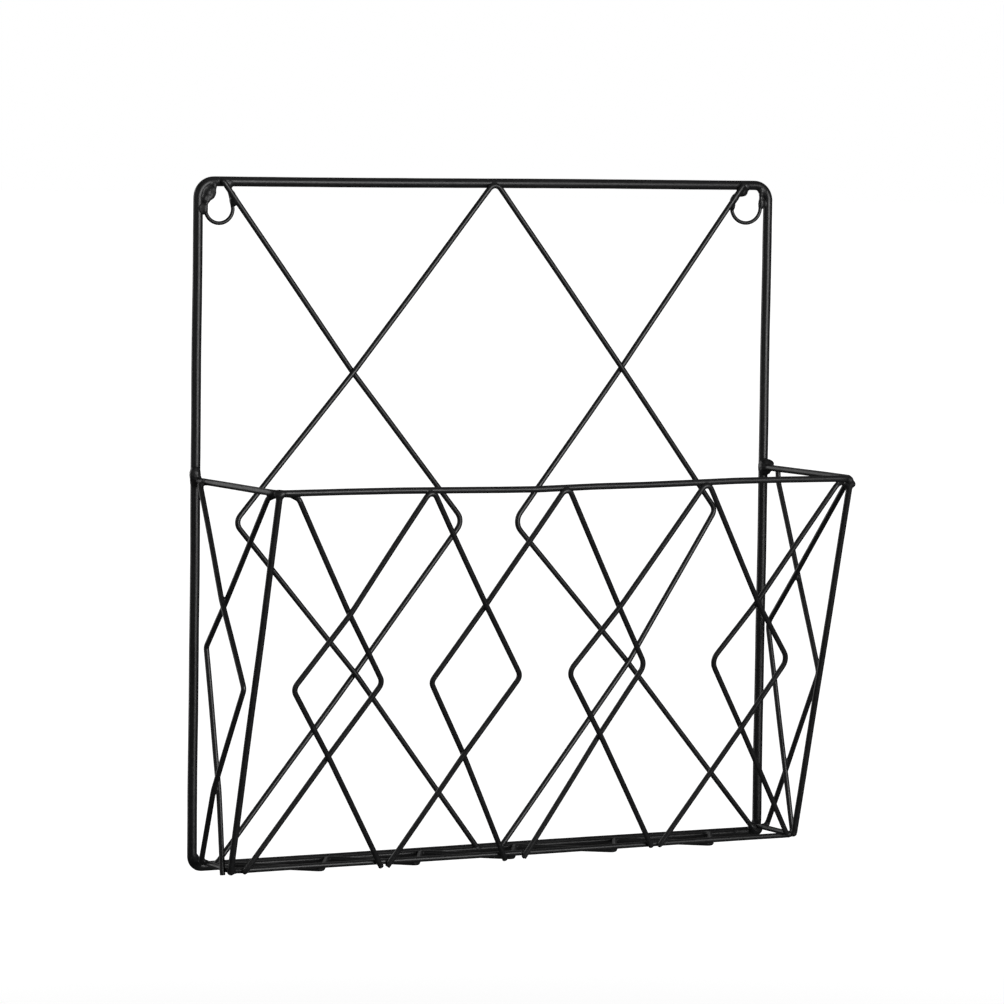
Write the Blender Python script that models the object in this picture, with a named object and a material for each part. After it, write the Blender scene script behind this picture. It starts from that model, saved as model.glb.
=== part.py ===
"""Hanging file rack: a wall-hung welded wire rack with one open-topped pocket.

A rectangular frame of heavy wire lies flat on the wall.  Two thin keyhole
loops in its top corners take the wall screws.  A pocket is built on the lower
half: a U-shaped rim, two leaning corner posts, a U-shaped base and a zigzag
floor wire.  Bent lattice wires run over the outside of the pocket and over the
front of the frame, and draw rows of diamonds.

Axes: +X to the right, +Y into the wall, +Z up.  The origin lies on the wall
plane, half way along the bottom bar of the frame, at that bar's own height.
Every length is in millimetres and is turned into metres by MM.  A depth is a
distance from the frame's centre plane, away from the wall.
"""
import math
from functools import partial

import bpy
from mathutils import Vector

MM = 0.001

# ------------------------------------------------------------- wire sizes
FRAME_WIRE = 4.7        # back frame, coated diameter
RIM_WIRE = 3.2          # pocket rim and corner posts
LATTICE_WIRE = 2.7      # all lattice wires and the base wires
HANGER_WIRE = 1.9       # keyhole loops
GAP = 0.3               # clearance left between two wires that touch

# Each wire is an eight-sided prism with the area of the round wire.
SIDES = 8
ROUND = math.sqrt(2 * math.pi / (SIDES * math.sin(2 * math.pi / SIDES)))  # to its corners
FLAT = ROUND * math.cos(math.pi / SIDES)                                  # to its flats

# ------------------------------------------------------------- back frame
FRAME_W = 320.0         # between the centre lines of the side bars
FRAME_H = 332.0         # between the centre lines of the top and bottom bars
FRAME_TOP_R = 8.0       # upper corner bends, on the centre line
FRAME_FOOT_R = 5.0      # lower corner bends
HALF_W = FRAME_W / 2
FRAME_Y = -FRAME_WIRE / 2 * FLAT          # the frame's back flats lie on the wall

# ----------------------------------------------------------------- pocket
RIM_Z = 188.0           # height of the rim above the bottom bar
RIM_DEPTH = 87.6        # of the rim's front wire
RIM_W = 317.0           # between the rim's sides, at the front
BASE_Z = 3.3
BASE_DEPTH = 40.2
BASE_W = 315.4
POCKET_R = 6.0          # bends of the rim and of the base loop
POCKET_BACK = FRAME_WIRE / 2 + GAP        # depth at which rim and base loop end

# ------------------------------------- how far out the lattice wires stand
ON_FRAME = (FRAME_WIRE + LATTICE_WIRE) / 2 + GAP
ON_RIM = (RIM_WIRE + LATTICE_WIRE) / 2 + GAP
ON_BASE = LATTICE_WIRE + GAP
CROSS = (LATTICE_WIRE + GAP) / 2 + 0.15   # each wire gives way by this at a crossing
FRAME_OVER, FRAME_UNDER = ON_FRAME + CROSS, ON_FRAME - CROSS
RIM_OVER, RIM_UNDER = ON_RIM + CROSS, ON_RIM - CROSS

# ------------------------------------------------------------- bend radii
# The side bends of the lattice vary and are given with their positions.
APEX_R = 3.0            # where a lattice wire turns at the rim
BACK_APEX_R = 4.0       # the same, on the top bar
CORNER_TURN_R = 2.0     # the two bends inside the left corner of the pocket

BEND_STEP = 22.5                # degrees of turn to a segment
LEAST_TURN = math.radians(6)    # a flatter corner is left sharp


# ------------------------------------------------------------ placing points
def ahead(x, z, depth):
    """A point in front of the back frame's centre plane."""
    return Vector((x, FRAME_Y - depth, z))


PANEL_FOOT = ahead(0, BASE_Z, BASE_DEPTH)
PANEL_UP = (ahead(0, RIM_Z, RIM_DEPTH) - PANEL_FOOT).normalized()
PANEL_OUT = Vector((0, -PANEL_UP.z, PANEL_UP.y))


def front(x, up, out):
    """A point on the leaning front: across, up the slope from the base, out of its plane."""
    return Vector((x, 0, 0)) + PANEL_FOOT + PANEL_UP * up + PANEL_OUT * out


def side(hand, depth, z, out):
    """A point outside a side of the pocket; hand is -1 left, +1 right."""
    # The rim narrows towards the front, and the sides lean from the base to it.
    rim_half = HALF_W + (RIM_W / 2 - HALF_W) * depth / RIM_DEPTH
    half = BASE_W / 2 + (rim_half - BASE_W / 2) * (z - BASE_Z) / (RIM_Z - BASE_Z)
    return ahead(hand * (half + out), z, depth)


def bend(points, radii, closed=False, step=BEND_STEP):
    """Rounds the corners of a line of points, one radius to each, 0 for none."""
    count = len(points)
    line = []
    for i, (corner, radius) in enumerate(zip(points, radii)):
        if radius <= 0 or (not closed and i in (0, count - 1)):
            line.append(corner)
            continue
        before = points[i - 1] - corner
        after = points[(i + 1) % count] - corner
        turn = math.pi - before.angle(after)
        if turn < LEAST_TURN:
            line.append(corner)
            continue
        before.normalize()
        after.normalize()
        reach = radius * math.tan(turn / 2)
        centre = corner + (before + after).normalized() * (radius / math.cos(turn / 2))
        first = corner + before * reach - centre
        last = corner + after * reach - centre
        segments = max(2, round(math.degrees(turn) / step))
        for k in range(segments + 1):
            t = k / segments
            blend = first * math.sin((1 - t) * turn) + last * math.sin(t * turn)
            line.append(centre + blend / math.sin(turn))
    return line


# ---------------------------------------------------------- scene and wires
for old in list(bpy.data.objects):
    bpy.data.objects.remove(old, do_unlink=True)
rack = bpy.data.collections.new("hanging_file_rack")
bpy.context.scene.collection.children.link(rack)
wall_plane = bpy.data.objects.new("wall_plane", None)
rack.objects.link(wall_plane)


def coating(name, rgb=(0.018, 0.018, 0.019), roughness=0.42):
    """The black coating, half glossy."""
    coat = bpy.data.materials.new(name)
    coat.use_nodes = True
    shader = coat.node_tree.nodes["Principled BSDF"]
    shader.inputs["Base Color"].default_value = (*rgb, 1)
    shader.inputs["Roughness"].default_value = roughness
    shader.inputs["Metallic"].default_value = 0.0
    coat.diffuse_color = (*rgb, 1)
    return coat


def wire(name, points, diameter=LATTICE_WIRE, closed=False, tilt=0.0):
    """One piece of wire: a poly curve with a round bevel and, if open, cut ends."""
    curve = bpy.data.curves.new(name, "CURVE")
    curve.dimensions = "3D"
    curve.twist_mode = "MINIMUM"
    curve.resolution_u = 1
    curve.render_resolution_u = 0
    curve.bevel_resolution = (SIDES - 4) // 2
    curve.bevel_depth = diameter / 2 * ROUND * MM
    curve.use_fill_caps = not closed
    spline = curve.splines.new("POLY")
    spline.points.add(len(points) - 1)
    for knot, point in zip(spline.points, points):
        knot.co = (point.x * MM, point.y * MM, point.z * MM, 1)
        knot.tilt = tilt
    spline.use_cyclic_u = closed
    curve.materials.append(coating(name + "_black"))
    obj = bpy.data.objects.new(name, curve)
    rack.objects.link(obj)
    obj.parent = wall_plane


# ------------------------------------------------------------- back frame
# The tilt turns a flat of the wire to the wall.
frame_corners = [(-HALF_W, 0), (-HALF_W, FRAME_H), (HALF_W, FRAME_H), (HALF_W, 0)]
wire("back_frame",
     bend([ahead(x, z, 0) for x, z in frame_corners],
          [FRAME_FOOT_R, FRAME_TOP_R, FRAME_TOP_R, FRAME_FOOT_R], closed=True),
     FRAME_WIRE, closed=True, tilt=math.pi / SIDES)

# ---------------------------------------------------------- keyhole loops
# A wide eye hangs from a narrow neck.  The short leg of the neck drops to a
# knee and steps out to the eye; the long leg runs on from the right of the
# eye.  Both end under the top bar or its corner bend.
EYE_STEPS = 12
EYE_START = 0.45        # radians of the eye skipped after the short leg
KNEE_DROP = 2.0         # least height of the short leg above its knee
KNEE_R = 1.2


def under_bar(x):
    """Height of the underside of the top bar, less the gap, round its corner bends too."""
    inner = FRAME_TOP_R - FRAME_WIRE / 2 * ROUND - GAP
    past = abs(x) + HANGER_WIRE / 2 - (HALF_W - FRAME_TOP_R)
    rise = inner if past <= 0 else math.sqrt(inner * inner - past * past)
    return FRAME_H - FRAME_TOP_R + rise


def keyhole(name, centre, half_w, half_h, short_x, long_x, left_depth, right_depth):
    """The eye is an ellipse; the loop may stand a little further out on one side."""
    centre_x, centre_z = centre

    def at(x, z):
        t = (x - (centre_x - half_w)) / (2 * half_w)
        return ahead(x, z, left_depth + (right_depth - left_depth) * t)

    meet = math.acos((short_x - centre_x) / half_w)      # where the short leg meets the eye
    short_top = under_bar(short_x)
    knee = min(centre_z + half_h * math.sin(meet), short_top - KNEE_DROP)
    line = [at(short_x, short_top), at(short_x, knee)]
    start = meet + EYE_START
    for k in range(EYE_STEPS + 1):
        angle = start + (2 * math.pi - start) * k / EYE_STEPS
        line.append(at(centre_x + half_w * math.cos(angle), centre_z + half_h * math.sin(angle)))
    line.append(at(long_x, under_bar(long_x)))
    wire(name, bend(line, [0, KNEE_R] + [0] * (len(line) - 2)), HANGER_WIRE)


keyhole("hanger_left", centre=(-149.6, 318.9), half_w=7.5, half_h=7.0,
        short_x=-152.4, long_x=-144.2, left_depth=2.3, right_depth=1.0)
keyhole("hanger_right", centre=(146.5, 320.5), half_w=8.4, half_h=7.65,
        short_x=146.25, long_x=155.4, left_depth=1.0, right_depth=1.0)

# ------------------------------------------------------------ back lattice
# Points are (x, z), bends (x, z, radius).  Each outer wire leaves the top bar,
# bends once and comes back to the bottom bar.  The centre wire makes two such
# legs, joined at the top bar, and lies over the outer ones.
BACK_LEFT_UPPER, BACK_LEFT_LOWER = (-77.5, 240.1), (-74.5, 90.7)      # crossings
BACK_RIGHT_UPPER, BACK_RIGHT_LOWER = (73.5, 239.1), (79.9, 91.5)


def outer_back_wire(name, top, upper, middle, lower, foot):
    x, z, radius = middle
    wire(name, bend([
        ahead(*top, ON_FRAME), ahead(*upper, FRAME_UNDER), ahead(x, z, FRAME_UNDER),
        ahead(*lower, FRAME_UNDER), ahead(*foot, ON_FRAME)], [0, 0, radius, 0, 0]))


outer_back_wire("back_lattice_left", (-148.3, FRAME_H), BACK_LEFT_UPPER,
                (-14.7, 165.0, 6.0), BACK_LEFT_LOWER, (-148.0, 2.0))
wire("back_lattice_centre", bend([
    ahead(-7.2, 3.4, ON_FRAME),
    ahead(*BACK_LEFT_LOWER, FRAME_OVER),
    ahead(-141.3, 167.4, FRAME_OVER),
    ahead(*BACK_LEFT_UPPER, FRAME_OVER),
    ahead(0.1, 333.3, ON_FRAME),
    ahead(*BACK_RIGHT_UPPER, FRAME_OVER),
    ahead(128.9, 167.2, FRAME_OVER),
    ahead(*BACK_RIGHT_LOWER, FRAME_OVER),
    ahead(10.3, 3.4, ON_FRAME)], [0, 0, 4.9, 0, BACK_APEX_R, 0, 4.4, 0, 0]))
outer_back_wire("back_lattice_right", (143.0, FRAME_H), BACK_RIGHT_UPPER,
                (13.8, 163.3, 6.9), BACK_RIGHT_LOWER, (155.0, 2.5))


# ------------------------------------------------------ rim and base loop
def pocket_loop(name, back_half, front_half, depth, z, diameter):
    """A level U, open towards the wall."""
    wire(name, bend([
        ahead(-back_half, z, POCKET_BACK), ahead(-front_half, z, depth),
        ahead(front_half, z, depth), ahead(back_half, z, POCKET_BACK)],
        [0, POCKET_R, POCKET_R, 0]), diameter)


pocket_loop("pocket_rim", HALF_W, RIM_W / 2, RIM_DEPTH, RIM_Z, RIM_WIRE)
pocket_loop("base_loop", BASE_W / 2, BASE_W / 2, BASE_DEPTH, BASE_Z, LATTICE_WIRE)

# ----------------------------------------------------------- corner posts
# Each post stands under a bend of the rim and outside a bend of the base loop.
POST_TOP_DEPTH = RIM_DEPTH - 1.1
POST_TOP_Z = RIM_Z - RIM_WIRE / 2 - GAP - 0.6
POSTS = (   # name, x of the top, x and z of the foot, how far the foot is ahead of the base
    ("post_left", -156.7, -158.35, 3.2, 0.65),
    ("post_right", 158.1, 157.5, 4.6, 1.2),
)
for name, top_x, foot_x, foot_z, foot_out in POSTS:
    wire(name, [ahead(top_x, POST_TOP_Z, POST_TOP_DEPTH),
                ahead(foot_x, foot_z, BASE_DEPTH + foot_out)], RIM_WIRE)

# -------------------------------------------------- rear rail of the base
RAIL_HALF = 144
RAIL_Z = 0.4
wire("base_rear_rail", [ahead(x, RAIL_Z, ON_FRAME) for x in (-RAIL_HALF, RAIL_HALF)])

# ------------------------------------------------------------- floor wire
# It swings between the front of the base loop, just behind and below it, and
# the front of the rear rail.  Depths are of the corners before they are rounded.
FLOOR_Z = 1.3
FLOOR_FRONT = 39.2
FLOOR_BACK = 5.6
FLOOR_TIPS = (-108.9, -57.2, -4.3, 53.4, 109.4)   # bends by the front of the base
FLOOR_SWING = 19.5      # each rear bend lies this far to the right of the tip before it
FLOOR_ENDS = (-139.6, 128.0)
FLOOR_END_DEPTH = 6.9
FLOOR_R = 1.8
FLOOR_STEP = 40         # degrees of turn to a segment

floor = [ahead(FLOOR_ENDS[0], FLOOR_Z, FLOOR_END_DEPTH)]
for tip in FLOOR_TIPS:
    floor.append(ahead(tip, FLOOR_Z, FLOOR_FRONT))
    floor.append(ahead(tip + FLOOR_SWING, FLOOR_Z, FLOOR_BACK))
floor[-1] = ahead(FLOOR_ENDS[1], FLOOR_Z, FLOOR_END_DEPTH)    # the last tip runs to the end
wire("base_zigzag", bend(floor, [FLOOR_R] * len(floor), step=FLOOR_STEP))


# --------------------------------------------------------- front lattice
# A leg is listed from the bottom up: foot, lower crossing, bend with its
# radius, upper crossing.  Its points are (across, up the slope) on the front
# and (depth, height) on a side.
def leg(place, points, layer):
    """The points of a leg, and their radii; place is front, or side with its hand."""
    foot, lower, (along, up, radius), upper = points
    return [place(*foot, ON_BASE), place(*lower, layer), place(along, up, layer),
            place(*upper, layer)], [0, 0, radius, 0]


def fan(name, left, apex, right, layer):
    """A lattice wire with two legs: up from the base, over at the rim and down again."""
    rising, rising_radii = leg(front, left, layer)
    falling, falling_radii = leg(front, right, layer)
    wire(name, bend(rising + [front(*apex, ON_RIM)] + falling[::-1],
                    rising_radii + [APEX_R] + falling_radii[::-1]))


# Crossings, numbered from left to right.
UPPER_1, LOWER_1 = (-114.1, 130.8), (-115.1, 56.7)
UPPER_2, LOWER_2 = (-40.4, 131.0), (-42.1, 56.2)
UPPER_3, LOWER_3 = (33.5, 129.6), (33.5, 60.9)
UPPER_4, LOWER_4 = (112.7, 127.2), (114.1, 62.7)

fan("front_lattice_left",
    left=((-78.4, -1.7), LOWER_1, (-139.6, 93.7, 4.6), UPPER_1), apex=(-78.4, 192.9),
    right=((-75.2, -1.7), LOWER_2, (-16.9, 95.2, 4.3), UPPER_2), layer=RIM_OVER)
fan("front_lattice_centre",
    left=((-10.1, -2.1), LOWER_2, (-64.4, 93.0, 3.8), UPPER_2), apex=(-5.2, 193.2),
    right=((0.1, -1.6), LOWER_3, (53.9, 97.0, 6.4), UPPER_3), layer=RIM_UNDER)
fan("front_lattice_right",
    left=((72.7, -0.3), LOWER_3, (9.6, 96.1, 5.7), UPPER_3), apex=(73.0, 192.6),
    right=((77.5, 0.3), LOWER_4, (134.5, 97.7, 6.7), UPPER_4), layer=RIM_OVER)

# -------------------------------------------------------- corner lattice
# One wire runs up the outside of the pocket's side, ducks under the rim, turns
# inside the pocket's corner behind the top of the post, ducks under the rim
# again and comes down the outside of the front.
DUCK_Z = RIM_Z - RIM_WIRE / 2 - LATTICE_WIRE / 2 - GAP - 0.2


def two_bends(hand, side_depth, front_x, inward, past, z):
    """A turn with two bends, inward from the rim and past where the wire ducks under it."""
    return [ahead(hand * (RIM_W / 2 - inward), z, side_depth + past),
            ahead(hand * (front_x + past), z, RIM_DEPTH - inward)]


def arch(hand, side_depth, front_x, rise):
    """A turn with one bend, half way between the two places where the wire ducks."""
    return [ahead(hand * (RIM_W / 2 + front_x) / 2, DUCK_Z + rise, (side_depth + RIM_DEPTH) / 2)]


def corner_wire(name, hand, side_leg, side_depth, turn, turn_radii, front_x, front_leg):
    """The wire ducks under the rim's side at side_depth and under its front at front_x."""
    rising, rising_radii = leg(partial(side, hand), side_leg, RIM_UNDER)
    falling, falling_radii = leg(front, front_leg, RIM_UNDER)
    over = [ahead(hand * RIM_W / 2, DUCK_Z, side_depth),
            *turn(hand, side_depth, front_x),
            ahead(hand * front_x, DUCK_Z, RIM_DEPTH)]
    wire(name, bend(rising + over + falling[::-1],
                    rising_radii + [APEX_R, *turn_radii, APEX_R] + falling_radii[::-1]))


# Crossings on the sides, as (depth, height).
LEFT_UPPER, LEFT_LOWER = (37.4, 133.6), (29.2, 41.1)
RIGHT_UPPER, RIGHT_LOWER = (31.1, 133.7), (26.5, 39.2)

corner_wire("corner_lattice_left", -1,
            side_leg=((36.0, 0.9), LEFT_LOWER, (14.7, 108.7, 2.5), LEFT_UPPER), side_depth=77.7,
            turn=partial(two_bends, inward=4.6, past=2.6, z=RIM_Z - 1.4),
            turn_radii=[CORNER_TURN_R] * 2, front_x=147.1,
            front_leg=((-151.8, 0.3), LOWER_1, (-90.6, 93.9, 4.8), UPPER_1))
corner_wire("corner_lattice_right", 1,
            side_leg=((34.5, 3.5), RIGHT_LOWER, (6.7, 108.1, 7.0), RIGHT_UPPER), side_depth=82.0,
            turn=partial(arch, rise=1.0), turn_radii=[APEX_R], front_x=149.6,
            front_leg=((151.6, 1.8), LOWER_4, (91.9, 97.5, 6.9), UPPER_4))


# ---------------------------------------------------------- side lattice
def side_wire(name, hand, top, points):
    """A wire down the pocket's side, over the corner wire; top is its points by the rim."""
    falling, radii = leg(partial(side, hand), points, RIM_OVER)
    wire(name, bend([side(hand, *point, ON_RIM) for point in top] + falling[::-1],
                    [0] * len(top) + radii[::-1]))


side_wire("side_lattice_left", -1, [(11.5, 186.6)],
          ((11.7, 4.4), LEFT_LOWER, (62.2, 93.6, 2.5), LEFT_UPPER))
side_wire("side_lattice_right", 1, [(10.2, 187.2), (10.9, 181.0)],
          ((9.7, 4.8), RIGHT_LOWER, (53.1, 87.3, 3.5), RIGHT_UPPER))
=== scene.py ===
"""Looks of a wall-hung wire file rack: a closed back frame with two hanger loops, a pocket made of
a rim, two posts and a base loop, zigzag lattice wires on every side, and a weld at every joint.

Frame: +X right, +Y into the wall, +Z up. The back frame stands near y = 0 with its foot at z = 0,
and the pocket reaches out to -Y. The layout is in millimetres; Blender gets metres."""
from collections import namedtuple
from functools import partial
from math import acos, atan2, ceil, cos, degrees, pi, radians, sin, sqrt, tan

import bpy
import numpy as np
from mathutils import Matrix, Vector


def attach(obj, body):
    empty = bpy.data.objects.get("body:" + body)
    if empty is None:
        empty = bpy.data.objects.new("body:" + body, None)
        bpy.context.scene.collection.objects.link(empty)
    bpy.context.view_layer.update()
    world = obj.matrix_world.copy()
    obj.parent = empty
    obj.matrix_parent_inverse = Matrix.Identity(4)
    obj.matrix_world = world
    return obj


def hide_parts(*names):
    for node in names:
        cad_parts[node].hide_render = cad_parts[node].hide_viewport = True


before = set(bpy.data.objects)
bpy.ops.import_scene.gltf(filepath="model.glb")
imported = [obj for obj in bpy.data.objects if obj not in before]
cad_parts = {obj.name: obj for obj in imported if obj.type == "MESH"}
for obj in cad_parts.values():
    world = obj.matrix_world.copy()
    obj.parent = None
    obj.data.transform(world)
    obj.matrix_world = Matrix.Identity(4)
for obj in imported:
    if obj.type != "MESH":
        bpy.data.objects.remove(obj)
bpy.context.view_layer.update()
MM = 0.001

# ----------------------------------------------------------------------------
# Sizes (mm)
# ----------------------------------------------------------------------------
FRAME_WIRE, RIM_WIRE, LATTICE_WIRE, HANGER_WIRE = 4.7, 3.2, 2.7, 1.9   # diameters
FRAME_COAT = 0.08                      # added to the back frame's diameter
FRAME_W, FRAME_H, FRAME_R, FRAME_FOOT_R = 320.0, 332.0, 8.0, 5.0
HALF_W = FRAME_W / 2
FRAME_Y = -2.288                       # centre plane of the back frame's wire
RIM_Z, RIM_DEPTH, RIM_W = 188.0, 87.6, 317.0
BASE_Z, BASE_DEPTH, BASE_W = 3.3, 40.2, 315.4
POCKET_R, APEX_R, BACK_APEX_R = 6.0, 3.0, 4.0

# How far a lattice wire's centre lies out from the wire or plane it is welded to
SINK = 0.12                            # how far two welded wires are pressed into each other
EASE = 0.1                             # added to every such distance
ON_FRAME = (FRAME_WIRE + LATTICE_WIRE) / 2 - SINK + EASE
ON_RIM = (RIM_WIRE + LATTICE_WIRE) / 2 - SINK + EASE
ON_BASE = LATTICE_WIRE - SINK + EASE
HALF_CROSSING = LATTICE_WIRE / 2 - SINK / 2 + EASE
OVER, UNDER = ON_RIM + HALF_CROSSING, ON_RIM - HALF_CROSSING
BACK_OVER, BACK_UNDER = ON_FRAME + HALF_CROSSING, ON_FRAME - HALF_CROSSING


# ----------------------------------------------------------------------------
# Places on the rack's faces
# ----------------------------------------------------------------------------
def vec(*parts):
    return np.array(parts, float)


def unit(vector):
    return vector / np.linalg.norm(vector)


PANEL_FOOT = vec(0, FRAME_Y - BASE_DEPTH, BASE_Z)
PANEL_TOP = vec(0, FRAME_Y - RIM_DEPTH, RIM_Z)
PANEL_UP = unit(PANEL_TOP - PANEL_FOOT)
PANEL_OUT = vec(0, -PANEL_UP[2], PANEL_UP[1])


def on_front(x, up, out):
    """On the sloping front: `up` along the slope, `out` square to it."""
    return vec(x, 0, 0) + PANEL_FOOT + PANEL_UP * up + PANEL_OUT * out


def on_back(x, z, out):
    return vec(x, FRAME_Y - out, z)


def on_side(hand, depth, z, out):
    """On a side face: hand is -1 for left, 1 for right; depth runs out from the back frame."""
    rim = HALF_W + (RIM_W / 2 - HALF_W) * depth / RIM_DEPTH
    half = BASE_W / 2 + (rim - BASE_W / 2) * (z - BASE_Z) / (RIM_Z - BASE_Z)
    return vec(hand * (half + out), FRAME_Y - depth, z)


def mirrored(point):
    return vec(-point[0], point[1], point[2])


# ----------------------------------------------------------------------------
# Centre lines: rounded corners, then the unevenness of hand work
# ----------------------------------------------------------------------------
SAMPLE_GAP = 0.5
# How far the rim and the front's top stray in z (second row) at each x (first row)
BOW_X = (-158, -125, -95, -40, -20, 12, 40, 90, 117, 158)
BOW_Z = (0.0, 0.0, -0.2, -1.1, -1.25, -0.55, -0.35, 0.5, 0.45, 0.0)

Wire = namedtuple("Wire", "path radius closed")
WIRES = {}


def bend(corners, radii, closed=False, step=7.0):
    """Rounds the corners as a wire bender does; an arc has a segment for every `step` degrees."""
    radii = np.broadcast_to(radii, len(corners))
    line = []
    for i, corner in enumerate(corners):
        if radii[i] <= 0 or (not closed and i in (0, len(corners) - 1)):
            line.append(corner)
            continue
        before = unit(corners[i - 1] - corner)
        after = unit(corners[(i + 1) % len(corners)] - corner)
        turn = pi - acos(max(-1.0, min(1.0, float(before @ after))))
        if turn < radians(3):
            line.append(corner)
            continue
        reach = radii[i] * tan(turn / 2)
        centre = corner + unit(before + after) * (radii[i] / cos(turn / 2))
        first, last = corner + before * reach - centre, corner + after * reach - centre
        count = max(3, round(degrees(turn) / step))
        for k in range(count + 1):
            part = k / count
            spoke = first * sin((1 - part) * turn) + last * sin(part * turn)
            line.append(centre + spoke / sin(turn))
    return line


def distance_along(path):
    return np.r_[0, np.cumsum(np.linalg.norm(np.diff(path, axis=0), axis=1))]


def resample(line, closed):
    if closed:
        line = np.vstack([line, line[:1]])
    line = line[np.r_[True, np.linalg.norm(np.diff(line, axis=0), axis=1) > 1e-6]]
    along = distance_along(line)
    stations = np.linspace(0, along[-1], max(8, int(round(along[-1] / SAMPLE_GAP))) + 1)
    if closed:
        stations = stations[:-1]
    return np.stack([np.interp(stations, along, line[:, k]) for k in range(3)], 1)


def soften(path, closed, passes=3):
    """Wire has stiffness: corners left by the layout relax into a gentle curve."""
    for _ in range(passes):
        eased = (np.roll(path, 1, 0) + 2 * path + np.roll(path, -1, 0)) / 4
        if not closed:
            eased[[0, -1]] = path[[0, -1]]
        path = eased
    return path


def smoothstep(x, low, high):
    part = np.clip((x - low) / (high - low), 0, 1)
    return part * part * (3 - 2 * part)


def settle(path):
    """The rim bows and no wire is quite straight. One smooth field of shifts and wavelengths
    moves all wires together, so that welded wires stay in touch."""
    moved = path.copy()
    x, y, z = path.T
    near_rim = smoothstep(z, 120, 186) * smoothstep(-y, 50, 86)
    moved[:, 2] += np.interp(x, BOW_X, BOW_Z) * near_rim
    moved[:, 0] += 0.10 * np.sin(z / 31.0 + x / 57.0) + 0.05 * np.sin(z / 11.0 + y / 19.0 + 1.0)
    moved[:, 1] -= 0.10 * (1 + np.sin(x / 43.0 + z / 37.0 + 2.0)) * smoothstep(-y, 6, 20)
    moved[:, 2] += 0.10 * np.sin(x / 37.0 + y / 23.0 + 0.5)
    return moved


def lay(name, line, diameter, closed=False):
    path = resample(np.array(line, float), closed)
    WIRES[name] = Wire(settle(soften(path, closed)), diameter / 2, closed)


def lay_lattice(name, rows):
    """A lattice wire through rows of (corner, bend radius)."""
    corners, radii = zip(*rows)
    lay(name, bend(corners, radii), LATTICE_WIRE)


def run_down(place, high, elbow, low, out):
    """Rows from an upper crossing, round an elbow (across, up, radius), to a lower crossing."""
    return [(place(*high, out), 0), (place(*elbow[:2], out), elbow[2]), (place(*low, out), 0)]


# ----------------------------------------------------------------------------
# Back frame and hanger loops
# ----------------------------------------------------------------------------
lay("back_frame",
    bend([on_back(-HALF_W, 0, 0), on_back(-HALF_W, FRAME_H, 0),
          on_back(HALF_W, FRAME_H, 0), on_back(HALF_W, 0, 0)],
         [FRAME_FOOT_R, FRAME_R, FRAME_R, FRAME_FOOT_R], closed=True),
    FRAME_WIRE + FRAME_COAT, closed=True)

HANGER_OVERLAP = 0.5                   # how far a hanger's ends run into the frame
KNEE_R, KNEE_DROP = 1.2, 2.8           # the bend below the short end, and its least drop
LOOP_GAP = 0.45                        # radians left open between the knee and the loop
LOOP_STEPS = 40


def under_bar(x):
    """Height at which a hanger wire meets the under side of the frame's top bar."""
    inner = FRAME_R - FRAME_WIRE / 2 + HANGER_OVERLAP
    past = abs(x) + HANGER_WIRE / 2 - (HALF_W - FRAME_R)
    rise = inner if past <= 0 else sqrt(max(0.0, inner * inner - past * past))
    return FRAME_H - FRAME_R + rise


def keyhole(name, centre, half_size, short_x, long_x, out_left, out_right):
    """An oval loop hung from the top bar by a short end and a long end."""
    (centre_x, centre_z), (half_w, half_h) = centre, half_size

    def at(x, z):
        across = (x - (centre_x - half_w)) / (2 * half_w)
        return on_back(x, z, out_left + (out_right - out_left) * across)

    start = acos((short_x - centre_x) / half_w)
    knee = min(centre_z + half_h * sin(start), under_bar(short_x) - KNEE_DROP)
    line = [at(short_x, under_bar(short_x)), at(short_x, knee)]
    start += LOOP_GAP
    for k in range(LOOP_STEPS + 1):
        angle = start + (2 * pi - start) * k / LOOP_STEPS
        line.append(at(centre_x + half_w * cos(angle), centre_z + half_h * sin(angle)))
    line.append(at(long_x, under_bar(long_x)))
    lay(name, bend(line, [0, KNEE_R] + [0] * (len(line) - 2)), HANGER_WIRE)


keyhole("hanger_left", centre=(-149.6, 318.9), half_size=(7.6, 7.0),
        short_x=-152.4, long_x=-144.2, out_left=2.3, out_right=1.0)
keyhole("hanger_right", centre=(146.5, 320.5), half_size=(8.45, 7.65),
        short_x=146.2, long_x=155.4, out_left=1.0, out_right=1.0)

# ----------------------------------------------------------------------------
# Back lattice. Crossings are (x, z), left to right.
# ----------------------------------------------------------------------------
BACK_HIGH = ((-77.5, 240.1), (73.5, 239.1))
BACK_LOW = ((-74.5, 90.7), (79.9, 91.5))


def frame_end(x, z, radius=0):
    return on_back(x, z, ON_FRAME), radius


def back_run(crossing, elbow, out):
    return run_down(on_back, BACK_HIGH[crossing], elbow, BACK_LOW[crossing], out)


lay_lattice("back_lattice_left", [
    frame_end(-148.3, 332.0), *back_run(0, (-14.7, 165.0, 6.0), BACK_UNDER),
    frame_end(-148.0, 2.0)])
lay_lattice("back_lattice_centre", [
    frame_end(-4.2, -0.2), *back_run(0, (-141.3, 167.4, 4.9), BACK_OVER)[::-1],
    frame_end(0.1, 333.3, BACK_APEX_R), *back_run(1, (128.9, 167.2, 4.4), BACK_OVER),
    frame_end(8.0, 0.5)])
lay_lattice("back_lattice_right", [
    frame_end(143.0, 332.0), *back_run(1, (13.8, 163.3, 6.9), BACK_UNDER),
    frame_end(155.0, 2.5)])

# ----------------------------------------------------------------------------
# Pocket: rim, posts and base
# ----------------------------------------------------------------------------
LOOP_END = FRAME_WIRE / 2 - 0.6        # the loops end just inside the frame's wire


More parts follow.
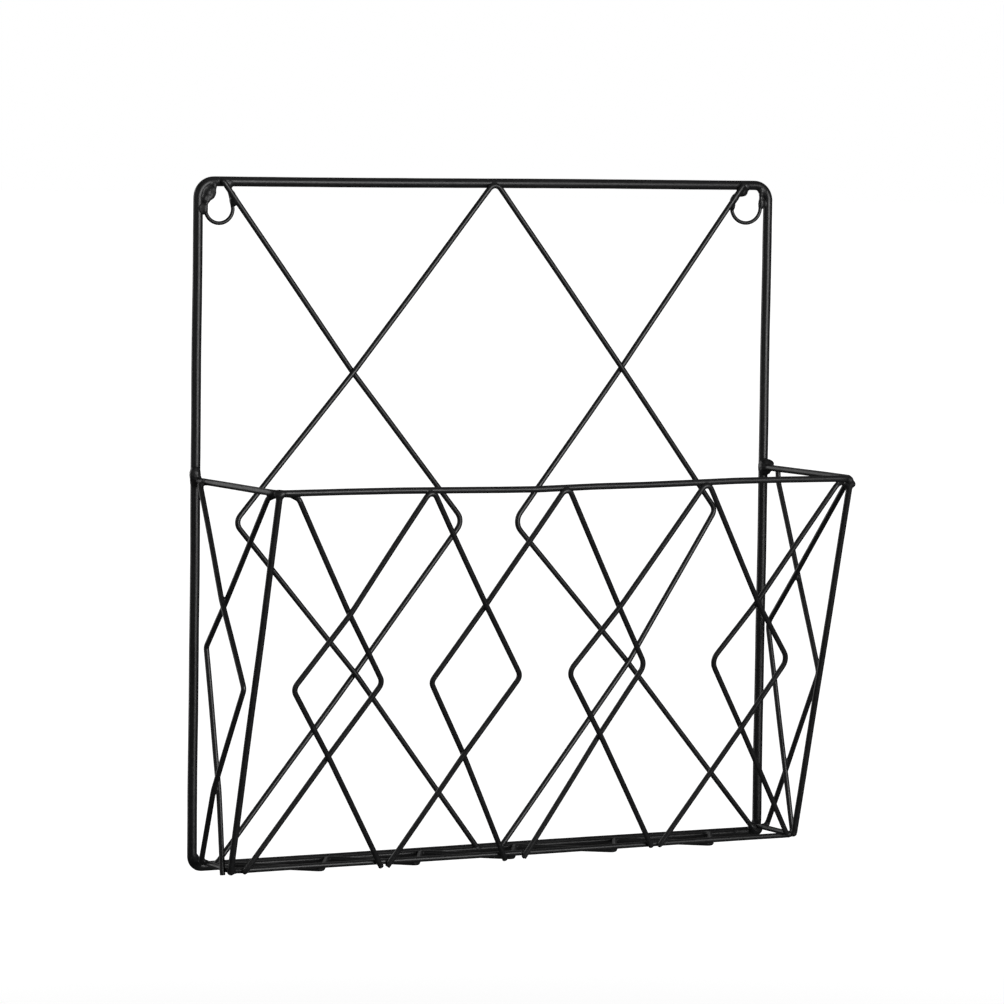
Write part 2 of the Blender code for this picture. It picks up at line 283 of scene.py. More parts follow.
def pocket_loop(name, back_half_w, front_half_w, depth, z, diameter):
    back = vec(back_half_w, FRAME_Y - LOOP_END, z)
    front = vec(front_half_w, FRAME_Y - depth, z)
    lay(name, bend([mirrored(back), mirrored(front), front, back], POCKET_R), diameter)


pocket_loop("pocket_rim", HALF_W, RIM_W / 2, RIM_DEPTH, RIM_Z, RIM_WIRE)

POST_TOP_Y, POST_TOP_Z = FRAME_Y - RIM_DEPTH + 1.1, RIM_Z - RIM_WIRE / 2 + 0.3
POST_FOOT_Y = FRAME_Y - BASE_DEPTH
lay("post_left", [vec(-156.7, POST_TOP_Y, POST_TOP_Z), vec(-158.3, POST_FOOT_Y - 0.3, 3.0)],
    RIM_WIRE)
lay("post_right", [vec(158.1, POST_TOP_Y, POST_TOP_Z), vec(157.4, POST_FOOT_Y - 0.7, 4.2)],
    RIM_WIRE)

pocket_loop("base_loop", BASE_W / 2, BASE_W / 2, BASE_DEPTH, BASE_Z, LATTICE_WIRE)
RAIL_HALF, RAIL_Z, RAIL_OUT = 144, 0.4, ON_FRAME - 0.05
lay("base_rear_rail", [on_back(-RAIL_HALF, RAIL_Z, RAIL_OUT), on_back(RAIL_HALF, RAIL_Z, RAIL_OUT)],
    LATTICE_WIRE)

ZIGZAG_TIPS = (-108.9, -57.2, -4.3, 53.4, 109.4)     # x of the front bends
ZIGZAG_SWING = 19.5                     # from a front bend across to the next rear bend
ZIGZAG_TIP_OUT, ZIGZAG_TIP_Z = 39.45, 1.4
ZIGZAG_REAR_OUT, ZIGZAG_REAR_Z = 5.05, 0.70          # against the front of the rear rail
ZIGZAG_ENDS, ZIGZAG_END_OUT, ZIGZAG_R = (-139.6, 128.0), 6.3, 1.8


def base_zigzag():
    line = [on_back(ZIGZAG_ENDS[0], ZIGZAG_REAR_Z, ZIGZAG_END_OUT)]
    for tip in ZIGZAG_TIPS:
        line.append(on_back(tip, ZIGZAG_TIP_Z, ZIGZAG_TIP_OUT))
        line.append(on_back(tip + ZIGZAG_SWING, ZIGZAG_REAR_Z, ZIGZAG_REAR_OUT))
    line[-1] = on_back(ZIGZAG_ENDS[1], ZIGZAG_REAR_Z, ZIGZAG_END_OUT)
    lay("base_zigzag", bend(line, ZIGZAG_R, step=12), LATTICE_WIRE)


base_zigzag()

# ----------------------------------------------------------------------------
# Front lattice. Crossings are (x, up), left to right.
# ----------------------------------------------------------------------------
FRONT_HIGH = ((-114.1, 130.8), (-40.4, 131.0), (33.5, 129.6), (112.7, 127.2))
FRONT_LOW = ((-115.1, 56.7), (-42.1, 56.2), (33.5, 60.9), (114.1, 62.7))


def front_leg(crossing, elbow, foot, out):
    rows = run_down(on_front, FRONT_HIGH[crossing], elbow, FRONT_LOW[crossing], out)
    return rows + [(on_front(*foot, ON_BASE), 0)]


def fan(name, left, apex, right, out):
    """Two legs under an apex on the rim; each leg is (crossing, elbow, foot)."""
    lay_lattice(name, [*front_leg(*left, out)[::-1], (on_front(*apex, ON_RIM), APEX_R),
                       *front_leg(*right, out)])


fan("front_lattice_left", (0, (-139.6, 93.7, 4.6), (-78.4, -1.7)), (-78.4, 192.9),
    (1, (-16.9, 95.2, 4.3), (-75.2, -1.7)), OVER)
fan("front_lattice_centre", (1, (-64.4, 93.0, 3.8), (-10.1, -2.1)), (-5.2, 193.2),
    (2, (53.9, 97.0, 6.4), (0.1, -1.6)), UNDER)
fan("front_lattice_right", (2, (9.6, 96.1, 5.7), (72.7, -0.3)), (73.0, 192.6),
    (3, (134.5, 97.7, 6.7), (77.5, 0.3)), OVER)

# ----------------------------------------------------------------------------
# Corner and side lattices. Crossings are (depth, z), keyed by hand.
# ----------------------------------------------------------------------------
SIDE_HIGH = {-1: (37.4, 133.6), 1: (31.1, 133.7)}
SIDE_LOW = {-1: (29.2, 41.1), 1: (26.5, 39.2)}
CORNER_Z = RIM_Z - RIM_WIRE / 2 - LATTICE_WIRE / 2 + 0.05


def side_leg(hand, elbow, foot, out):
    place = partial(on_side, hand)
    rows = run_down(place, SIDE_HIGH[hand], elbow, SIDE_LOW[hand], out)
    return rows + [(place(*foot, ON_BASE), 0)]


def corner_wire(name, hand, side, side_top, front_top, front, lift=None, square=None):
    """Runs up a side, under the rim, round its corner and down the front.
    The corner is one peak raised by `lift`, or two bends given by `square`: how far they lie
    inside the rim's lines, how far past the points under the rim, and their height."""
    under_side = vec(hand * RIM_W / 2, FRAME_Y - side_top, CORNER_Z)
    under_front = vec(hand * front_top, FRAME_Y - RIM_DEPTH, CORNER_Z)
    if square:
        inward, past, height = square
        top = [(under_side, 1.8),
               (vec(hand * (RIM_W / 2 - inward), FRAME_Y - side_top - past, height), 2.0),
               (vec(hand * (front_top + past), FRAME_Y - RIM_DEPTH + inward, height), 2.0),
               (under_front, 1.6)]
    else:
        peak = (under_side + under_front) / 2 + vec(0, 0, lift)
        top = [(under_side, APEX_R), (peak, APEX_R), (under_front, APEX_R)]
    lay_lattice(name, [*side_leg(hand, *side, UNDER)[::-1], *top, *front_leg(*front, UNDER)])


def side_lattice(name, hand, heads, elbow, foot):
    tops = [(on_side(hand, *head, ON_RIM), 0) for head in heads]
    lay_lattice(name, tops + side_leg(hand, elbow, foot, OVER))


corner_wire("corner_lattice_left", -1, side=((14.7, 108.7, 2.5), (36.0, 0.9)), side_top=77.7,
            front_top=147.1, front=(0, (-90.6, 93.9, 4.8), (-151.8, 0.3)),
            square=(3.8, 2.6, RIM_Z - 1.0))
corner_wire("corner_lattice_right", 1, side=((6.7, 108.1, 7.0), (34.5, 3.5)), side_top=82.0,
            front_top=149.6, front=(3, (91.9, 97.5, 6.9), (151.6, 1.8)), lift=1.0)
side_lattice("side_lattice_left", -1, heads=[(11.5, 186.6)],
             elbow=(62.2, 93.6, 2.5), foot=(11.7, 4.4))
side_lattice("side_lattice_right", 1, heads=[(10.2, 187.2), (10.9, 181.0)],
             elbow=(53.1, 87.3, 3.5), foot=(9.7, 4.8))


# ----------------------------------------------------------------------------
# Wire meshes
# ----------------------------------------------------------------------------
UNEVEN = 0.012                         # wobble of a wire's radius, as a share of it
CUT_EDGE = 0.22                        # rounding of a cut end, as a share of the radius
CUT_CLEAR = 0.35                       # least distance from the rounding to the next ring
SEAM_BLEND = 30                        # length over which a closed wire's wobble joins up


def wave(along, seed):
    """A slow, repeatable wobble of about -1 to 1 along a wire."""
    return (np.sin(along / 5.3 + seed) + np.sin(along / 2.9 + 2.1 * seed) * 0.6
            + np.sin(along / 13.7 + 3.3 * seed)) / 2.6


def thin_out(path, closed, max_turn=5.0, max_length=3.0):
    """Keeps enough of a finely sampled line to follow its bends (degrees, mm)."""
    tangents = np.diff(np.vstack([path, path[:1]]) if closed else path, axis=0)
    tangents = tangents / np.linalg.norm(tangents, axis=1)[:, None]
    keep, angle, length = [0], 0.0, 0.0
    for i in range(1, len(path) - (0 if closed else 1)):
        angle += degrees(acos(max(-1, min(1, float(tangents[i - 1] @ tangents[i])))))
        length += float(np.linalg.norm(path[i] - path[i - 1]))
        if angle >= max_turn or length >= max_length:
            keep.append(i)
            angle = length = 0.0
    if not closed:
        keep.append(len(path) - 1)
    return path[keep]


def frames(path, closed):
    """Tangents and a pair of side directions carried along the line without twist."""
    if closed:
        tangents = np.roll(path, -1, 0) - np.roll(path, 1, 0)
    else:
        tangents = np.gradient(path, axis=0)
    tangents = tangents / np.linalg.norm(tangents, axis=1)[:, None]
    helper = vec(0, 0, 1) if abs(tangents[0][2]) < 0.9 else vec(1, 0, 0)
    sides = [unit(np.cross(tangents[0], helper))]
    for tangent in tangents[1:]:
        sides.append(unit(sides[-1] - tangent * (sides[-1] @ tangent)))
    sides = np.array(sides)
    if closed:                          # spread the mismatch at the seam round the loop
        start = tangents[0]
        arrived = unit(sides[-1] - start * (sides[-1] @ start))
        off = atan2(float(np.cross(arrived, sides[0]) @ start), float(arrived @ sides[0]))
        angles = off * np.arange(len(path)) / len(path)
        square = np.cross(tangents, sides)
        sides = sides * np.cos(angles)[:, None] + square * np.sin(angles)[:, None]
    return tangents, sides, np.cross(tangents, sides)


def new_object(name, verts, faces, rub):
    """A smooth mesh from millimetres; `rub` says how worn each vertex is."""
    mesh = bpy.data.meshes.new(name)
    mesh.from_pydata([tuple(vert) for vert in np.asarray(verts) * MM], [], faces)
    mesh.validate()
    mesh.shade_smooth()
    layer = mesh.attributes.new("rub", "FLOAT", "POINT")
    layer.data.foreach_set("value", np.asarray(rub, np.float32))
    obj = bpy.data.objects.new(name, mesh)
    bpy.context.scene.collection.objects.link(obj)
    return obj


def wire_rings(wire, path, tangents, seed):
    """Rings as (centre, radius, index on the path, nearness to a cut end)."""
    radius, along = wire.radius, distance_along(path)
    wobble = wave(along, seed)
    if wire.closed:
        total = along[-1] + np.linalg.norm(path[0] - path[-1])
        blend = smoothstep(along, total - SEAM_BLEND, total)
        wobble = wobble * (1 - blend) + wave(along - total, seed) * blend

    def plain(i, cut):
        return path[i], radius * (1 + UNEVEN * wobble[i]), i, cut

    if wire.closed:
        return [plain(i, 0.0) for i in range(len(path))]
    edge = CUT_EDGE * radius
    ends = []
    for i, sign in ((0, 1), (len(path) - 1, -1)):
        inward = tangents[i] * sign
        rings = [(path[i] - inward * 0.04, (radius - edge) * 0.5, i, 1.0)]
        for turn in (0, 30, 60, 90):
            angle = radians(turn)
            rings.append((path[i] + inward * edge * (1 - cos(angle)),
                          radius - edge + edge * sin(angle), i, 1.0 - turn / 120))
        ends.append(rings)
    middle = [plain(i, max(0.0, 0.5 - min(here, along[-1] - here) / 2.0))
              for i, here in enumerate(along)
              if edge + CUT_CLEAR < here < along[-1] - edge - CUT_CLEAR]
    return ends[0] + middle + ends[1][::-1]


def tube(name, wire, seed):
    """A coated wire: round, very slightly uneven, with softly rounded cut ends."""
    sides = 28 if wire.radius > 2 else 22
    path = thin_out(wire.path, wire.closed)
    tangents, across, square = frames(path, wire.closed)
    rings = wire_rings(wire, path, tangents, seed)
    angles = np.arange(sides) * 2 * pi / sides
    cosines, sines = np.cos(angles)[:, None], np.sin(angles)[:, None]
    normals = [across[i] * cosines + square[i] * sines for _, _, i, _ in rings]
    verts = np.vstack([ring[0] + normal * ring[1] for ring, normal in zip(rings, normals)])
    normals = np.vstack(normals)
    cut = np.repeat([ring[3] for ring in rings], sides)
    count = len(rings)
    faces = []
    for i in range(count if wire.closed else count - 1):
        here, there = i * sides, (i + 1) % count * sides
        for k in range(sides):
            m = (k + 1) % sides
            faces.append((here + k, here + m, there + m, there + k))
    if not wire.closed:
        for ring, i, bulge in ((0, 0, -0.06), (count - 1, -1, 0.06)):
            middle = len(verts)
            verts = np.vstack([verts, path[i] + tangents[i] * bulge])
            normals = np.vstack([normals, tangents[i]])
            cut = np.r_[cut, 1.0]
            for k in range(sides):
                pair = (ring * sides + k, ring * sides + (k + 1) % sides)
                faces.append((middle,) + (pair[::-1] if ring == 0 else pair))
    rub = cut * 0.8
    if name == "pocket_rim":            # the rim's upper side is worn too
        rub = np.maximum(rub, smoothstep(normals[:, 2], 0.35, 0.95))
    return new_object(name + "_coated", verts, faces, rub)


# ----------------------------------------------------------------------------
# Weld meshes
# ----------------------------------------------------------------------------
BEAD_SOFT = 1.3                        # softness of the fillet round a bead of filler


def surface_net(field, low, size):
    """Quads of the zero level of a sampled field, negative inside."""
    cells = np.array(field.shape) - 1
    total = np.zeros((*cells, 3))
    count = np.zeros(tuple(cells))
    edges = []
    for axis in range(3):
        near = np.take(field, range(0, field.shape[axis] - 1), axis)
        far = np.take(field, range(1, field.shape[axis]), axis)
        crossed = (near < 0) != (far < 0)
        index = np.argwhere(crossed)
        place = index.astype(float)
        place[:, axis] += near[crossed] / (near[crossed] - far[crossed])
        side_1, side_2 = [k for k in range(3) if k != axis]
        around = []
        for step_1, step_2 in ((-1, -1), (0, -1), (0, 0), (-1, 0)):
            cell = index.copy()
            cell[:, side_1] += step_1
            cell[:, side_2] += step_2
            around.append(cell)
        whole = np.ones(len(index), bool)
        for cell in around:
            whole &= ((cell >= 0) & (cell < cells)).all(1)
        around = [tuple(cell[whole].T) for cell in around]
        for cell in around:
            np.add.at(total, cell, place[whole])
            np.add.at(count, cell, 1)
        flip = (near < 0)[crossed][whole]
        edges.append((around, ~flip if axis == 1 else flip))
    used = count > 0
    ids = -np.ones(tuple(cells), int)
    ids[used] = np.arange(used.sum())
    faces = []
    for around, flip in edges:
        quads = np.stack([ids[cell] for cell in around], 1)
        quads[~flip] = quads[~flip][:, ::-1]
        faces += [tuple(quad) for quad in quads.tolist()]
    return low + total[used] / count[used][:, None] * size, faces


def to_line(points, line):
    """Distance from each point to a polyline."""
    best = np.full(len(points), 1e9)
    for start, step in zip(line[:-1], np.diff(line, axis=0)):
        part = np.clip(((points - start) @ step) / (step * step).sum(), 0, 1)
        away = np.linalg.norm(points - start - part[:, None] * step, axis=1)
        best = np.minimum(best, away)
    return best


def near_part(wire, centre, reach):
    """The stretches of a wire near a point, as polylines of every second sample."""
    path = np.vstack([wire.path, wire.path[:1]]) if wire.closed else wire.path
    close = np.flatnonzero(np.linalg.norm(path - centre, axis=1) < reach)
    runs = np.split(close, np.flatnonzero(np.diff(close) > 1) + 1)
    return [path[np.unique(np.r_[run[::2], run[-1:]])] for run in runs if len(run) > 1]


def melt(first, second, soft):
    """Smooth union of two distances."""
    mix = np.maximum(soft - np.abs(first - second), 0) / soft
    return np.minimum(first, second) - mix * mix * soft / 4


def weld(names, centre, soft, lump, reach, beads):
    """The wires' own surfaces, melted together near a point and fading into them away from it.
    Beads are extra lumps of filler, each an ellipsoid (centre, radii)."""
    members = [(near_part(WIRES[name], centre, reach + 6), WIRES[name].radius) for name in names]
    max_radius = max(radius for _, radius in members)
    fade_start = 0.45 * reach

    def surface(points):
        x, y, z = points.T
        grain = (np.sin(x * 2.3 + z * 1.7) * np.sin(y * 2.1 + x * 1.3 + 1.0)
                 * np.sin(z * 2.6 + 2.0))
        level = None
        for runs, radius in members:
            best = np.full(len(points), 1e9)
            for run in runs:
                best = np.minimum(best, to_line(points, run))
            best = best - radius
            level = best if level is None else melt(level, best, soft)
        for middle, radii in beads:
            scaled = (points - middle) / radii
            far = np.linalg.norm(scaled, axis=1)
            slope = np.maximum(np.linalg.norm(scaled / radii, axis=1), 1e-6)
            level = melt(level, far * (far - 1) / slope - 0.16 * grain, BEAD_SOFT)
        away = np.linalg.norm(points - centre, axis=1)
        level = level - lump * (1 + 0.35 * grain) * np.exp(-(away / (0.55 * reach)) ** 2)
        fade = np.maximum(away - fade_start, 0) ** 2
        return level + 0.02 + fade * (max_radius + 1.2) / (reach - fade_start) ** 2

    size = 0.28 if reach < 4 else 0.36
    half = reach + 1.0
    count = int(ceil(2 * half / size)) + 1
    grid = np.arange(count) * size - half
    points = np.stack(np.meshgrid(grid, grid, grid, indexing="ij"), -1).reshape(-1, 3) + centre
    field = surface(points).reshape(count, count, count)
    verts, faces = surface_net(field, centre - half, size)
    nudge = 0.02
    for _ in range(2):                  # pull the vertices onto the true surface
        level = surface(verts)
        slope = np.stack([(surface(verts + shift) - level) / nudge
                          for shift in np.eye(3) * nudge], 1)
        steep = np.maximum((slope * slope).sum(1), 0.2)
        verts = verts - slope * (np.clip(level, -0.15, 0.15) / steep)[:, None]
    return verts, faces


# ----------------------------------------------------------------------------
# Where wires touch
# ----------------------------------------------------------------------------
CONTACT_SLACK, CONTACT_SPACING = 0.75, 7.0
WELD_STYLES = {                         # softness of the fillet, lump, reach
    "heavy": (2.4, 0.55, 6.4),
    "medium": (1.6, 0.32, 5.0),
    "light": (0.9, 0.06, 3.6),
}
# The bigger lumps of filler: wires, centre, reach, beads as (centre, radii along x, y, z)
FILLER = {
    "welds_hanger_left": [
        (("back_frame", "hanger_left"), on_back(-154.8, 326.0, 1.4), 8.0,
         [(on_back(-154.9, 326.4, 1.3), vec(2.9, 2.2, 3.4)),
          (on_back(-157.0, 322.7, 1.2), vec(2.0, 1.8, 2.8))]),
        (("hanger_left", "back_lattice_left"), on_back(-141.8, 323.2, 2.0), 5.4,
         [(on_back(-142.1, 323.0, 2.2), vec(1.7, 1.6, 2.9))])],
    "welds_hanger_right": [
        (("back_frame", "hanger_right", "back_lattice_right"), on_back(144.0, 328.6, 2.0), 7.0,
         [(on_back(143.6, 328.8, 2.0), vec(2.9, 2.0, 2.3))]),
        (("back_frame", "hanger_right"), on_back(155.8, 322.6, 0.9), 5.4,
         [(on_back(156.0, 322.6, 0.9), vec(1.6, 1.4, 2.3))]),
        (("hanger_right", "back_lattice_right"), on_back(138.2, 321.8, 2.0), 5.0,
         [(on_back(138.1, 321.8, 2.0), vec(1.2, 1.6, 2.3))])],
    "welds_rim": [
        (("back_frame", "pocket_rim"), on_back(-161.0, 189.4, 1.8), 8.6,
         [(on_back(-161.0, 190.8, 1.6), vec(2.7, 2.6, 4.5))]),
        (("back_frame", "pocket_rim"), on_back(160.6, 188.2, 2.4), 8.6,
         [(on_back(160.3, 188.0, 2.4), vec(3.2, 2.9, 4.1)),
          (on_back(162.4, 189.6, 3.0), vec(2.2, 1.6, 2.0))]),
        (("pocket_rim", "post_right"), on_back(159.2, 184.8, 86.4), 5.2,
         [(on_back(159.9, 185.2, 86.4), vec(1.3, 1.3, 1.5))])],
    "welds_base": [
        (("back_frame", "back_lattice_right"), on_back(156.8, 1.8, 3.0), 8.6,
         [(on_back(157.6, 1.5, 3.4), vec(3.7, 2.8, 3.4))])],
}
FILLER_SOFT = 1.6


def contacts(first, second):
    """Places where two wires touch, closest first, each with the gap between them."""
    path_1, path_2 = first.path[::2], second.path[::2]
    radii = first.radius + second.radius
    reach = radii + CONTACT_SLACK
    if ((path_1.min(0) - reach > path_2.max(0)).any()
            or (path_2.min(0) - reach > path_1.max(0)).any()):
        return []
    apart = np.linalg.norm(path_1[:, None] - path_2[None], axis=2)
    found = []
    for i, j in sorted(np.argwhere(apart < reach).tolist(), key=lambda pair: apart[tuple(pair)]):
        spot = path_1[i] + (path_2[j] - path_1[i]) * (first.radius / radii)
        if all(np.linalg.norm(spot - other) > CONTACT_SPACING for other, _ in found):
            gap = float(apart[i, j]) - first.radius - second.radius
            found.append((spot, max(0.0, gap)))
    return found


def weld_kind(first, second):
    if first == "back_frame" and second in ("pocket_rim", "base_loop"):
        return "heavy"
    if any(name.startswith(("post", "hanger")) for name in (first, second)):
        return "medium"
    return "light"


def weld_group(first, second, kind, centre):
    x, y, z = centre
    hand = "left" if x < 0 else "right"
    if "hanger" in first + second:
        return "welds_hanger_" + hand
    if z > 150 and y < -20:
        return "welds_rim"
    if z < 25:
        return "welds_base"
    if kind == "heavy":
        return "welds_rim"
    if y > -12:
        return "welds_back"
    if abs(x) > 150:
        return "welds_side_" + hand
    return "welds_front"


def weld_groups():
    """The arguments of every weld, by piece."""
    groups = {}
    names = list(WIRES)
    for i, first in enumerate(names):
        for second in names[i + 1:]:
            kind = weld_kind(first, second)
            for centre, gap in contacts(WIRES[first], WIRES[second]):
                soft, lump, reach = WELD_STYLES[kind]
                if gap > 0.2:           # the weld metal fills what the wires leave open
                    soft, lump, reach = soft + 2.4 * gap, lump + 0.5 * gap, max(reach, 4.6)
                group = groups.setdefault(weld_group(first, second, kind, centre), [])
                group.append(((first, second), centre, soft, lump, reach, ()))
    for piece_name, group in groups.items():
        for members, centre, reach, beads in FILLER.get(piece_name, ()):
            group.append((members, centre, FILLER_SOFT, 0.0, reach, beads))
    return groups


# ----------------------------------------------------------------------------
# Material: satin black powder coat
# ----------------------------------------------------------------------------
def add_node(tree, kind, inputs=None, **settings):
    """A shader node; each input is given a value or linked from a socket."""
    node = tree.nodes.new("ShaderNode" + kind)
    for key, value in settings.items():
        setattr(node, key, value)
    for key, value in (inputs or {}).items():
        if isinstance(value, bpy.types.NodeSocket):
            tree.links.new(value, node.inputs[key])
        else:
            node.inputs[key].default_value = value
    return node


def map_range(tree, value, span, to, kind="SMOOTHSTEP"):
    inputs = {"Value": value, "From Min": span[0], "From Max": span[1],
              "To Min": to[0], "To Max": to[1]}
    return add_node(tree, "MapRange", inputs, interpolation_type=kind).outputs["Result"]


def powder_coat(name, peel=1.0, rougher=0.0):
    """`peel` scales the orange peel, `rougher` is added to the roughness."""
    material = bpy.data.materials.new(name)
    material.use_nodes = True
    tree = material.node_tree
    coord = add_node(tree, "TexCoord").outputs["Object"]

    def noise(scale, detail=2.0, roughness=0.5):
        return add_node(tree, "TexNoise", {"Vector": coord, "Scale": scale, "Detail": detail,
                                           "Roughness": roughness}).outputs["Fac"]

    def ramp(value, span, to=(0.0, 1.0)):
        return map_range(tree, value, span, to)

    def calc(operation, first, second):
        node = add_node(tree, "Math", {0: first, 1: second}, operation=operation)
        return node.outputs["Value"]

    def mix(factor, under, over):       # 6, 7 and 2 are the Mix node's colour sockets
        node = add_node(tree, "Mix", {6: under, 7: over}, data_type="RGBA")
        tree.links.new(factor, node.inputs["Factor"])
        return node.outputs[2]

    rub = add_node(tree, "Attribute", attribute_name="rub").outputs["Fac"]
    drift = noise(scale=38.0, detail=3.0)              # slow change in film build along a wire
    mottle = noise(scale=420.0, detail=3.0, roughness=0.6)    # a few millimetres
    grain = noise(scale=2100.0, roughness=0.6)         # the powder's own grain
    specks = ramp(noise(scale=1300.0, detail=1.0), span=(0.70, 0.76))  # dust and light powder

    colour = mix(ramp(drift, span=(0.3, 0.7)),
                 under=(0.0090, 0.0090, 0.0096, 1), over=(0.0130, 0.0130, 0.0136, 1))
    colour = mix(ramp(mottle, span=(0.35, 0.75), to=(0.0, 0.40)),
                 under=colour, over=(0.0180, 0.0181, 0.0188, 1))
    colour = mix(calc("MULTIPLY", specks, 0.35), under=colour, over=(0.085, 0.085, 0.086, 1))
    patches = ramp(noise(scale=260.0, detail=4.0, roughness=0.65), span=(0.42, 0.68))
    worn = calc("MULTIPLY", rub, patches)
    colour = mix(calc("MULTIPLY", worn, 0.35), under=colour, over=(0.060, 0.060, 0.062, 1))

    base = 0.35 + rougher
    roughness = calc("ADD", ramp(drift, span=(0.25, 0.75), to=(base - 0.04, base + 0.05)),
                     ramp(mottle, span=(0.3, 0.7), to=(-0.03, 0.05)))
    roughness = calc("SUBTRACT", roughness, calc("MULTIPLY", worn, 0.10))

    orange_peel = noise(scale=640.0 / peel, detail=1.5, roughness=0.4)
    height = calc("ADD", calc("MULTIPLY", orange_peel, 1.0), calc("MULTIPLY", grain, 0.22))
    bump = add_node(tree, "Bump", {"Strength": 0.20, "Distance": 0.00009 * peel,
                                   "Height": height})

    shader = tree.nodes["Principled BSDF"]
    for key, value in {"Metallic": 0.0, "IOR": 1.5, "Coat Weight": 0.0}.items():
        shader.inputs[key].default_value = value
    tree.links.new(colour, shader.inputs["Base Color"])
    tree.links.new(roughness, shader.inputs["Roughness"])
    tree.links.new(bump.outputs["Normal"], shader.inputs["Normal"])
    material.diffuse_color = (0.018, 0.018, 0.019, 1)
    return material


# ----------------------------------------------------------------------------
# The pieces
# ----------------------------------------------------------------------------
def add_wires(coat):
    for i, (name, wire) in enumerate(WIRES.items()):
        piece = tube(name, wire, seed=i * 1.37 + 0.4)
        piece.data.materials.append(coat)
        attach(piece, "root")
        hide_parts(name)


def add_welds(coat):
    for name, welds in weld_groups().items():
        verts, faces, count = [], [], 0
        for arguments in welds:
            weld_verts, weld_faces = weld(*arguments)
            faces += [tuple(k + count for k in face) for face in weld_faces]
            verts.append(weld_verts)
            count += len(weld_verts)
        piece = new_object(name, np.vstack(verts), faces, np.zeros(count))
        piece.data.materials.append(coat)
        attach(piece, "root")


wire_coat = powder_coat("black_powder_coat_wire")
weld_coat = powder_coat("black_powder_coat_weld", peel=1.4, rougher=0.05)
add_wires(wire_coat)
add_welds(weld_coat)

# ----------------------------------------------------------------------------
# Floor and world (metres)
# ----------------------------------------------------------------------------
scene = bpy.context.scene
scene.view_settings.view_transform = "Standard"
scene.view_settings.look = "None"

WHITE = (1, 1, 1, 1)
FLOOR_LEVEL = -0.30
FLOOR_RADII = (0.4, 1.0, 2.5, 6.0, 14.0, 40.0)
FLOOR_SEGMENTS = 64


def pale_floor():
    """Glows towards the camera, more so far out, and is clear from below."""
    material = bpy.data.materials.new("pale_floor")
    material.use_nodes = True
    tree = material.node_tree
    tree.nodes.clear()
    camera_ray = add_node(tree, "LightPath").outputs["Is Camera Ray"]
    # the floor throws little light back at the wires
    shade = map_range(tree, camera_ray, span=(0.0, 1.0), to=(0.16, 0.80), kind="LINEAR")
    diffuse = add_node(tree, "BsdfDiffuse", {"Color": shade})
    glow = add_node(tree, "Emission", {"Color": WHITE, "Strength": 1.30})
    place = add_node(tree, "TexCoord").outputs["Object"]
    from_middle = add_node(tree, "VectorMath", {0: place}, operation="LENGTH").outputs["Value"]
    glow_share = map_range(tree, from_middle, span=(0.5, 2.2), to=(0.58, 0.86))
    share = add_node(tree, "Math", {0: camera_ray, 1: glow_share}, operation="MULTIPLY")
    upper = add_node(tree, "MixShader",
                     {0: share.outputs[0], 1: diffuse.outputs[0], 2: glow.outputs[0]})
    below = add_node(tree, "NewGeometry").outputs["Backfacing"]
    clear = add_node(tree, "BsdfTransparent")
    both = add_node(tree, "MixShader", {0: below, 1: upper.outputs[0], 2: clear.outputs[0]})
    add_node(tree, "OutputMaterial", {"Surface": both.outputs[0]})
    return material


def add_floor():
    """A disc of rings round a centre vertex."""
    verts = [(radius * cos(2 * pi * k / FLOOR_SEGMENTS), radius * sin(2 * pi * k / FLOOR_SEGMENTS),
              FLOOR_LEVEL) for radius in FLOOR_RADII for k in range(FLOOR_SEGMENTS)]
    centre = len(verts)
    verts.append((0.0, 0.0, FLOOR_LEVEL))
    faces = [(centre, k, (k + 1) % FLOOR_SEGMENTS) for k in range(FLOOR_SEGMENTS)]
    for i in range(len(FLOOR_RADII) - 1):
        inner, outer = i * FLOOR_SEGMENTS, (i + 1) * FLOOR_SEGMENTS
        for k in range(FLOOR_SEGMENTS):
            m = (k + 1) % FLOOR_SEGMENTS
            faces.append((inner + k, outer + k, outer + m, inner + m))
    mesh = bpy.data.meshes.new("floor")
    mesh.from_pydata(verts, [], faces)
    floor = bpy.data.objects.new("floor", mesh)
    scene.collection.objects.link(floor)
    mesh.materials.append(pale_floor())


def add_world():
    """White to the camera, dim to everything else."""
    world = bpy.data.worlds.new("studio")
    scene.world = world
    world.use_nodes = True
    tree = world.node_tree
    tree.nodes.clear()
    seen = add_node(tree, "Background", {"Color": WHITE, "Strength": 1.0})
    dim = add_node(tree, "Background", {"Color": WHITE, "Strength": 0.05})
    camera_ray = add_node(tree, "LightPath").outputs["Is Camera Ray"]
    mix = add_node(tree, "MixShader", {0: camera_ray, 1: dim.outputs[0], 2: seen.outputs[0]})
    add_node(tree, "OutputWorld", {"Surface": mix.outputs[0]})


add_floor()
add_world()

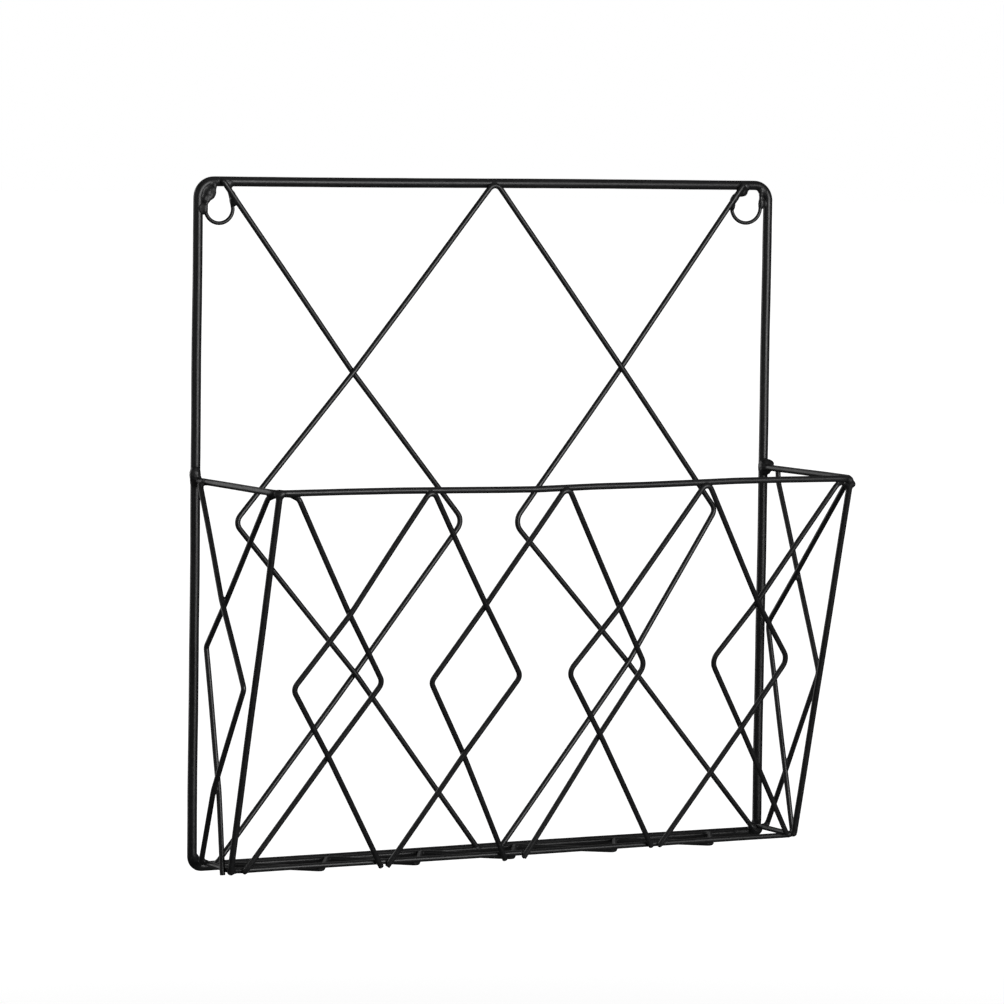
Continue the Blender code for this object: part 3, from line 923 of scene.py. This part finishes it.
# ----------------------------------------------------------------------------
# Lights and camera. Azimuth is 0 in front (-Y) and grows towards +X.
# ----------------------------------------------------------------------------
LIGHT_TARGET = vec(0, -40, 175) * MM
SOFT_BOXES = (
    # name, azimuth, elevation (degrees), distance, width, height (metres), watts
    ("key", 12, 9, 2.2, 1.3, 1.1, 31.5),
    ("fill", -75, 15, 2.4, 1.6, 1.6, 3),
    ("top", 20, 80, 1.9, 1.6, 1.6, 1.4),
    ("rear", 165, 25, 2.4, 1.6, 1.6, 2),
    ("rear_left", -150, 5, 2.4, 2.2, 2.0, 16),
)
CAMERA_AZIMUTH, CAMERA_ELEVATION, CAMERA_ROLL = radians(-28.38), radians(4.39), radians(0.80)
CAMERA_TARGET = vec(0, FRAME_Y, 175)
CAMERA_RIGHT, CAMERA_DOWN, CAMERA_DISTANCE = 7.2, 1.3, 2481.0    # from the target
SENSOR_WIDTH, FOCAL_LENGTH = 36.0, 178.74502


def direction(azimuth, elevation):
    return vec(sin(azimuth) * cos(elevation), -cos(azimuth) * cos(elevation), sin(elevation))


def soft_box(name, azimuth, elevation, distance, width, height, power):
    toward = direction(radians(azimuth), radians(elevation))
    data = bpy.data.lights.new(name, "AREA")
    data.shape = "RECTANGLE"
    data.size, data.size_y = width, height
    data.energy = power
    light = bpy.data.objects.new(name, data)
    light.location = Vector(LIGHT_TARGET + toward * distance)
    light.rotation_mode = "QUATERNION"
    light.rotation_quaternion = Vector(toward).to_track_quat("Z", "Y")
    scene.collection.objects.link(light)


def add_camera():
    toward = direction(CAMERA_AZIMUTH, CAMERA_ELEVATION)
    level = vec(cos(CAMERA_AZIMUTH), sin(CAMERA_AZIMUTH), 0)
    upright = np.cross(toward, level)
    right = cos(CAMERA_ROLL) * level + sin(CAMERA_ROLL) * upright
    up = -sin(CAMERA_ROLL) * level + cos(CAMERA_ROLL) * upright
    eye = CAMERA_TARGET + CAMERA_RIGHT * right - CAMERA_DOWN * up + CAMERA_DISTANCE * toward
    data = bpy.data.cameras.new("camera")
    data.sensor_width = SENSOR_WIDTH
    data.lens = FOCAL_LENGTH
    data.clip_start, data.clip_end = 0.05, 100.0
    camera = bpy.data.objects.new("camera", data)
    scene.collection.objects.link(camera)
    rows = np.stack([right, up, toward, eye * MM], 1).tolist()
    camera.matrix_world = Matrix([*rows, (0, 0, 0, 1)])
    scene.camera = camera


for box in SOFT_BOXES:
    soft_box(*box)
add_camera()

# ----------------------------------------------------------------------------
# Update the view layer
# ----------------------------------------------------------------------------
bpy.context.view_layer.update()
